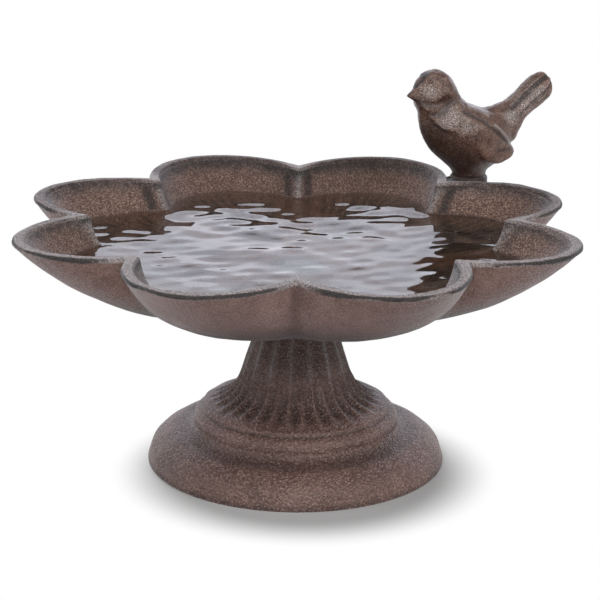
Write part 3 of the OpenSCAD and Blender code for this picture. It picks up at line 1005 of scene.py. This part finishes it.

# %% [markdown]
# ### Marks of wear, and painted light and shade
# Brushing and wear leave their marks by the form: the land is grey, a thin dark line runs below
# its outer arris and the inside is speckled below the rim. Light and shade are painted in with
# them: a grey band of painted reflection follows each inner ridge, painted sheen greys the land
# and the faces near the ridges, most at the front, painted shade darkens the bowl low down and at
# the back, and below the water the rust is warm and dark, partly as wet rust and partly as
# painted shade. They could be painted by hand. Here each is worked out from where a point lies,
# so the marks stay with the form when a size is changed.

# %% Where a point of the bowl lies
inside = side_of == 2
underside = side_of == 0
land = (side_of >= 0.5) & (side_of <= 1.5)
below_rim = rim_h - points[..., 2]
ridge_off = radius * np.abs(beside_crease)[None, :]  # distance from the crease or inner ridge
# front and aside say where the painted sheen and shade of the bowl fall.
front = ease((50 - points[..., 1]) / 110)  # 0 at the back of the bath, 1 at its front
aside = ease((np.abs(points[..., 0]) - 45) / 40)  # 0 in the middle, 1 at the left and right
wet = inside & (points[..., 2] < water_z + 0.3)
by_ridge = band(ridge_off, 7)
print("share of the skin that is wet", round(float(wet.mean()), 2))

# %% Worn and grey parts of the bowl, with painted sheen and shade
line_w = 2.1 + 0.8 * sway(flat, 34).reshape(side_of.shape)  # the dark line is uneven
worn = np.where(underside | (side_of == 0.5), ease((line_w - below_rim) / 0.9), 0)
worn *= (1 - band(ridge_off, 9)) * ease((below_rim + 0.1) / 0.5)
on_land = land & (worn < 0.1)
# The land is darker at the back and lighter at the front and by the ridges: painted shade and sheen.
worn = np.maximum(worn, on_land * (0.5 - 0.3 * front) * (1 - 0.9 * by_ridge))
# Inside, a dark band below the rim, and painted shade that is stronger in the middle than at the
# left and right.
worn = np.maximum(worn, inside * (0.2 - 0.15 * aside + 0.5 * band(below_rim - 1, 4)))
# Painted shade beside the inner ridges at the back.
worn = np.maximum(worn, inside * 0.7 * band(ridge_off - 5, 2.5) * (1 - front))
# The land is grey from brushing, with painted sheen that grows towards the front and the ridges.
grey = land * (0.5 + 0.35 * front + 0.4 * by_ridge)
# Inside, a grey band below the rim and a painted reflection along each inner ridge.
grey += inside * (0.6 * band(below_rim, 6) + band(ridge_off, 2.2))
# Painted sheen near the inner ridges at the front.
grey += inside * 0.8 * front * band(ridge_off, 8)
# Painted sheen on the underside near the creases and below the rim.
grey += underside * 0.15 * (band(ridge_off, 5) + band(below_rim, 6))
print("the dark line is up to", round(float(line_w.max()), 1), "mm wide")

# %% Specks, hollows and painted shade of the bowl
def mark(thing, *marks):
    """Keep a number between 0 and 1 of each kind for each point of a mesh."""
    for kind, values in zip(mark_kinds, marks):
        layer = thing.data.attributes.new(kind, "FLOAT", "POINT")
        layer.data.foreach_set("value", np.clip(values, 0, 1).ravel())


speck = np.where(inside, 0.95, np.where(land, 0.9, 0.1))
# On the underside, painted shade in the creases and low down, where it faces downward.
hollow = underside * (0.4 * band(ridge_off, 2.5) + 0.9 * ease((below_rim - 18) / 12))
# Inside, dark veins, and painted shade lower down, less at the left and right.
hollow += inside * (0.2 * vein + (0.3 - 0.25 * aside) * ease((below_rim - 4) / 10))
hollow += inside * 0.8 * vein * band(points[..., 2] - water_z - 1, 5)  # dark at the waterline
# Below the water the rust is warm and dark, partly as wet rust and partly as painted shade,
# with dark veins, and more painted shade towards the right.
worn = np.where(wet, 0.7 * vein + 0.3 * ease((points[..., 0] - 45) / 30), worn)
grey = np.where(wet, 0, grey)
speck = np.where(wet, 0.15, speck)
hollow = np.where(wet, 0.85 + 0.15 * vein, hollow)
# The tongue comes after these points, and all of it has one value of each kind: dark, as
# painted shade below the bird's foot.
tongue_painted_shade = (0.62, 0.05, 0.2, 0.7)
rest = np.ones(len(bowl.data.vertices) - side_of.size)
mark(bowl, *(np.r_[values.ravel(), value * rest]
             for values, value in zip((worn, grey, speck, hollow), tongue_painted_shade)))
print("marks on the bowl")

# %% Marks of wear and painted light on the pedestal
# The ridges carry painted highlights, most at the left and right, and the flutes hold dark rust,
# most low down.
from_axis = np.hypot(stem[..., 0], stem[..., 1])
fluted = np.array([flag for r, z, flag in profile])[:, None] > 0
ridge_r = np.array([r for r, z, flag in profile])[:, None]
sunk = np.clip((ridge_r - from_axis) / flute_d, 0, 1) * fluted  # 0 on a ridge, 1 in a flute
upper = ease((heights - 34) / 14)
low_part = ease((44 - heights) / 14)
# 1 at the left and right, where the painted highlights on the ridges are strongest.
flank_highlight = np.sin(around)[None, :] ** 2
grey = fluted * band(sunk, 0.16) * (0.55 - 0.15 * low_part + 0.4 * flank_highlight)
grey = grey * ease((heights - lip_z - 1.5) / 2.5)
grey = np.maximum(grey, 0.4 * fluted * (1 - sunk) * ease((heights - 40) / 8))
# Painted highlight on the torus.
grey += 0.2 * band(heights - 20, 3) * (from_axis > 43)  # on the torus
grey += 0.22 * upper * (1 - sunk)
hollow = (0.45 + 0.55 * low_part - 0.1 * upper) * sunk
# Painted shade in the cove.
hollow = hollow + 0.6 * band(heights - 15.2, 2.2) * (from_axis < 56)  # in the cove
hollow = hollow + 0.8 * band(heights - groove_z, 0.8) * (from_axis < 43)  # in the groove
worn = 0.16 - 0.13 * upper + 0.3 * band(heights - foot_h, 0.8) + 0 * from_axis
speck = 0.42 + 0 * from_axis
mark(pedestal, worn, grey, speck, hollow)
print("marks on the pedestal")

# %% Marks of wear and painted light on the bird
# Painted highlights on the cheek, the shoulder and the tail: (along, height, size)
painted_highlights = ((24, 43, 4), (15, 31, 6.5), (9, 27, 5), (-31, 39, 6), (-25, 34, 6), (-19, 28, 5))
painted_highlight = np.zeros(len(bird_side))
for along, height, size in painted_highlights:
    painted_highlight = np.maximum(painted_highlight, band(np.hypot(*(bird_side - (along, height)).T), size))
# Dark in the grooves, and painted shadow below the foot.
worn = 0.12 + 0.7 * bird_dark
grey = np.maximum(bird_ridge_highlight, 0.7 * painted_highlight)
# More salt specks on the painted highlights.
speck = 0.2 + 0.6 * painted_highlight
# Dark grooves, painted shadow below the foot and painted shade below the wings.
hollow = bird_dark + 0.7 * bird_shade
mark(bird, worn, grey, speck, hollow)
print("bright spots on the bird", len(painted_highlights))

# %% [markdown]
# ### Water, zinc and rubber
# Water is a clear dielectric with an index of 1.33: at a flat angle it mirrors the room, and
# straight down it shows the iron. A breath of rust tints it. The bolts, nut and washers are
# zinc-plated steel, which dulls to a soft grey metal with a fine crystalline bloom. The crystals
# are much smaller than the 1.5 mm drawn here, which is what it takes for them to show. The seal is
# matt black rubber, which gives only a dull grey sheen and a little dust.

# %% Water
clear_water, tree = new_material("clear_water")
shader = add(tree, "ShaderNodeBsdfPrincipled", base_color=linear("fdebd3"), roughness=0.0,
             ior=1.333, transmission_weight=1.0)[0]
add(tree, "ShaderNodeOutputMaterial", surface=shader)
water.data.materials.append(clear_water)
print("water tint", [round(c, 2) for c in linear("fdebd3")[:3]])

# %% Zinc-plated steel
zinc, tree = new_material("steel_zinc_plated")
place = add(tree, "ShaderNodeTexCoord")["Object"]
bloom = add(tree, "ShaderNodeTexVoronoi", vector=place, scale=per_mm(1.5))["Distance"]
haze = add(tree, "ShaderNodeTexNoise", vector=place, scale=per_mm(4), detail=3.0)["Fac"]
colour = add(tree, "ShaderNodeValToRGB", {"stops": [(0.35, "3f3e3e"), (0.65, "5a5959")]},
             fac=haze)[0]
gloss = add(tree, "ShaderNodeMapRange", value=bloom, from_max=0.8, to_min=0.28, to_max=0.45)[0]
shader = add(tree, "ShaderNodeBsdfPrincipled", base_color=colour, metallic=1.0, roughness=gloss)[0]
add(tree, "ShaderNodeOutputMaterial", surface=shader)
steel_nodes = ("centre_bolt", "head_washer", "nut_washer", "centre_nut", "bird_screw",
               "bird_washer")
print("zinc-plated", len(steel_nodes), "pieces")

# %% Black rubber
rubber, tree = new_material("rubber_matt_black")
place = add(tree, "ShaderNodeTexCoord")["Object"]
dust = add(tree, "ShaderNodeTexNoise", vector=place, scale=per_mm(2), detail=2.0)["Fac"]
colour = add(tree, "ShaderNodeValToRGB", {"stops": [(0.4, "1b1b1c"), (0.7, "2c2b2b")]},
             fac=dust)[0]
shader = add(tree, "ShaderNodeBsdfPrincipled", base_color=colour, roughness=0.75)[0]
add(tree, "ShaderNodeOutputMaterial", surface=shader)
for nodes, finish in ((steel_nodes, zinc), (("seal_washer",), rubber)):
    for node in nodes:
        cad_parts[node].data.materials.clear()
        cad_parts[node].data.materials.append(finish)
print("finishes", sorted(m.name for m in bpy.data.materials if m.users))

# %% [markdown]
# ## Light, floor and camera
# The bath stands on a white floor in a white room. The room itself gives a faint even light, so
# that shadows stay soft. The camera, mirrors and glass see it as plain white, which a Light Path
# node tells apart from the light that it gives.

# %% Room
def seen_directly(tree):
    """Two sockets: 1 for what the camera, mirrors and glass see, and 1 for the camera alone."""
    rays = add(tree, "ShaderNodeLightPath")
    seen = rays["Is Camera Ray"]
    for kind in ("Is Glossy Ray", "Is Transmission Ray"):
        seen = add(tree, "ShaderNodeMath", {"operation": "MAXIMUM"}, in_0=seen, in_1=rays[kind])[0]
    return seen, rays["Is Camera Ray"]


world = bpy.data.worlds.new("white_room")
bpy.context.scene.world = world
world.use_nodes = True
tree = world.node_tree
tree.nodes.clear()
seen = seen_directly(tree)[0]
room_light = 0.12
level = add(tree, "ShaderNodeMapRange", value=seen, to_min=room_light, to_max=1.0)[0]
glow = add(tree, "ShaderNodeBackground", color=(1, 1, 1, 1), strength=level)[0]
add(tree, "ShaderNodeOutputWorld", surface=glow)
print("room light", room_light)

# %% [markdown]
# Four soft boxes do the rest. The one in front shows the near petals, a stronger one at the right
# gives the forms a bright and a dark side, a weak one at the left lifts the grey of the wax, and
# the large one behind draws the soft shadow towards the viewer. The last would be a hard blaze on
# the water, so mirrors don't see it.

# %% Lamps
def soft_box(name, place, wide, radiance):
    """A square lamp aimed at the bath. radiance is how bright it looks beside a white of 1."""
    lamp = bpy.data.lights.new(name, "AREA")
    lamp.shape = "SQUARE"
    lamp.size = wide * MM
    lamp.energy = radiance * math.pi * (wide * MM) ** 2
    made = bpy.data.objects.new(name, lamp)
    made.location = Vector(place) * MM
    aim = Vector((0, 0, 90)) - Vector(place)
    made.rotation_euler = aim.to_track_quat("-Z", "Y").to_euler()
    made.visible_camera = False
    bpy.context.scene.collection.objects.link(made)
    return made


behind = soft_box("behind", (-250, 1030, 830), 700, 7.5)
behind.visible_glossy = False
behind.visible_transmission = False
soft_box("front", (-260, -1120, 760), 300, 26)
soft_box("right", (750, -750, 835), 420, 17)
soft_box("left", (-1120, -60, 740), 420, 6)

# %% [markdown]
# Water is only as bright as what it mirrors, so a screen stands behind the bath for it, like the
# bright wall of a studio. It is bright low down and dark higher up, with a soft change between and
# faint clouds. The ripples mix the two into bands. The camera doesn't see it and it lights
# nothing: it shows only in what mirrors.

# %% Screen behind the bath
screen_y = 1200
screen_side = 1200
screen_top = 1700
screen = put("back_screen", [(-screen_side, screen_y, 20), (screen_side, screen_y, 20),
                             (screen_side, screen_y, screen_top),
                             (-screen_side, screen_y, screen_top)], [(0, 1, 2, 3)])
screen_light, tree = new_material("screen_light")
place = add(tree, "ShaderNodeTexCoord")["Object"]
height = add(tree, "ShaderNodeSeparateXYZ", vector=place)["Z"]
height = add(tree, "ShaderNodeMapRange", value=height, from_max=screen_top * MM)[0]
stops = [(0.0, 0.75), (0.15, 1.0), (0.36, 0.97), (0.45, 0.15), (1.0, 0.15)]
level = add(tree, "ShaderNodeValToRGB", {"stops": stops}, fac=height)[0]
level.node.color_ramp.interpolation = "EASE"
clouds = add(tree, "ShaderNodeTexNoise", vector=place, scale=per_mm(110), detail=2.0)["Fac"]
clouds = add(tree, "ShaderNodeValToRGB", {"stops": [(0.35, 0.72), (0.65, 1.0)]}, fac=clouds)[0]
for veil in (clouds, linear("eff2ff")):
    level = add(tree, "ShaderNodeMix", {"data_type": "RGBA", "blend_type": "MULTIPLY"}, in_0=1.0,
                in_6=level, in_7=veil)[2]
shine = add(tree, "ShaderNodeEmission", color=level, strength=2.4)[0]
add(tree, "ShaderNodeOutputMaterial", surface=shine)
screen.data.materials.append(screen_light)
screen.visible_camera = False
screen.visible_diffuse = False
screen.visible_shadow = False
print("the screen is bright up to", round(0.4 * screen_top), "mm")

# %% [markdown]
# The floor is a large matt sheet. Near the bath it keeps the shadow. Farther away it fades into
# the white of the room for the camera, mirrors and glass, so that no edge of it shows. Light meets
# a pale floor, and the camera a darker one, so that the floor doesn't clip to white below the
# lamps and the shadow keeps its depth. Within a disc set a little to the right of the base and
# towards the viewer, that darker floor is painted shade over the real shadow.

# %% Floor
far = 6000
floor = put("floor", [(-far, -far, 0), (far, -far, 0), (far, far, 0), (-far, far, 0)],
            [(0, 1, 2, 3)])
shadow_middle = (0.004, -0.017, 0)  # in metres, like the two radii
shadow_r = 0.058
white_r = 0.088
white_floor, tree = new_material("white_floor")
seen, by_camera = seen_directly(tree)
tint = add(tree, "ShaderNodeMapRange", value=by_camera, to_min=0.85, to_max=0.43)[0]
matt = add(tree, "ShaderNodeBsdfDiffuse", color=tint)[0]
place = add(tree, "ShaderNodeTexCoord")["Object"]
off = add(tree, "ShaderNodeVectorMath", {"operation": "SUBTRACT"}, in_0=place,
          in_1=shadow_middle)[0]
from_base = add(tree, "ShaderNodeVectorMath", {"operation": "LENGTH"}, in_0=off)["Value"]
afar = add(tree, "ShaderNodeMapRange", {"interpolation_type": "SMOOTHSTEP"}, value=from_base,
           from_min=shadow_r, from_max=white_r)[0]
level = add(tree, "ShaderNodeMath", {"operation": "MULTIPLY"}, in_0=seen, in_1=afar)[0]
shine = add(tree, "ShaderNodeEmission", color=(1, 1, 1, 1), strength=1.0)[0]
both = add(tree, "ShaderNodeMixShader", in_0=level, in_1=matt, in_2=shine)[0]
add(tree, "ShaderNodeOutputMaterial", surface=both)
floor.data.materials.append(white_floor)
print("floor", 2 * far, "mm wide")

# %% [markdown]
# A long lens from nearly a metre away keeps the flower from looking stretched. The camera looks
# down by 17 degrees, enough to show the water and still the whole pedestal.

# %% Camera
camera = bpy.data.objects.new("camera", bpy.data.cameras.new("camera"))
bpy.context.scene.collection.objects.link(camera)
bpy.context.scene.camera = camera
look_at = Vector((1.4, 0, 74.6)) * MM
distance = 923 * MM
elevation = math.radians(17.05)
roll = math.radians(0.6)  # it isn't held quite level
away = Vector((0, -math.cos(elevation), math.sin(elevation)))
camera.location = look_at + away * distance
aimed = (-away).to_track_quat("-Z", "Y").to_matrix() @ Matrix.Rotation(roll, 3, "Z")
camera.rotation_euler = aimed.to_euler()
camera.data.sensor_width = 36
camera.data.lens = 123.5
camera.data.clip_start = 0.05
camera.data.clip_end = 20
bpy.context.scene.view_settings.view_transform = "Standard"
print("camera", round(distance / MM), "mm away")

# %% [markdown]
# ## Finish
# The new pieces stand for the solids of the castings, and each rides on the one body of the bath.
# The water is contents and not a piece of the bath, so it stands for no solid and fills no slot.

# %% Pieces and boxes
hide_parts("bowl")
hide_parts("pedestal")
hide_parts("bird")
for piece in (bowl, pedestal, bird, water):
    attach(piece, root)
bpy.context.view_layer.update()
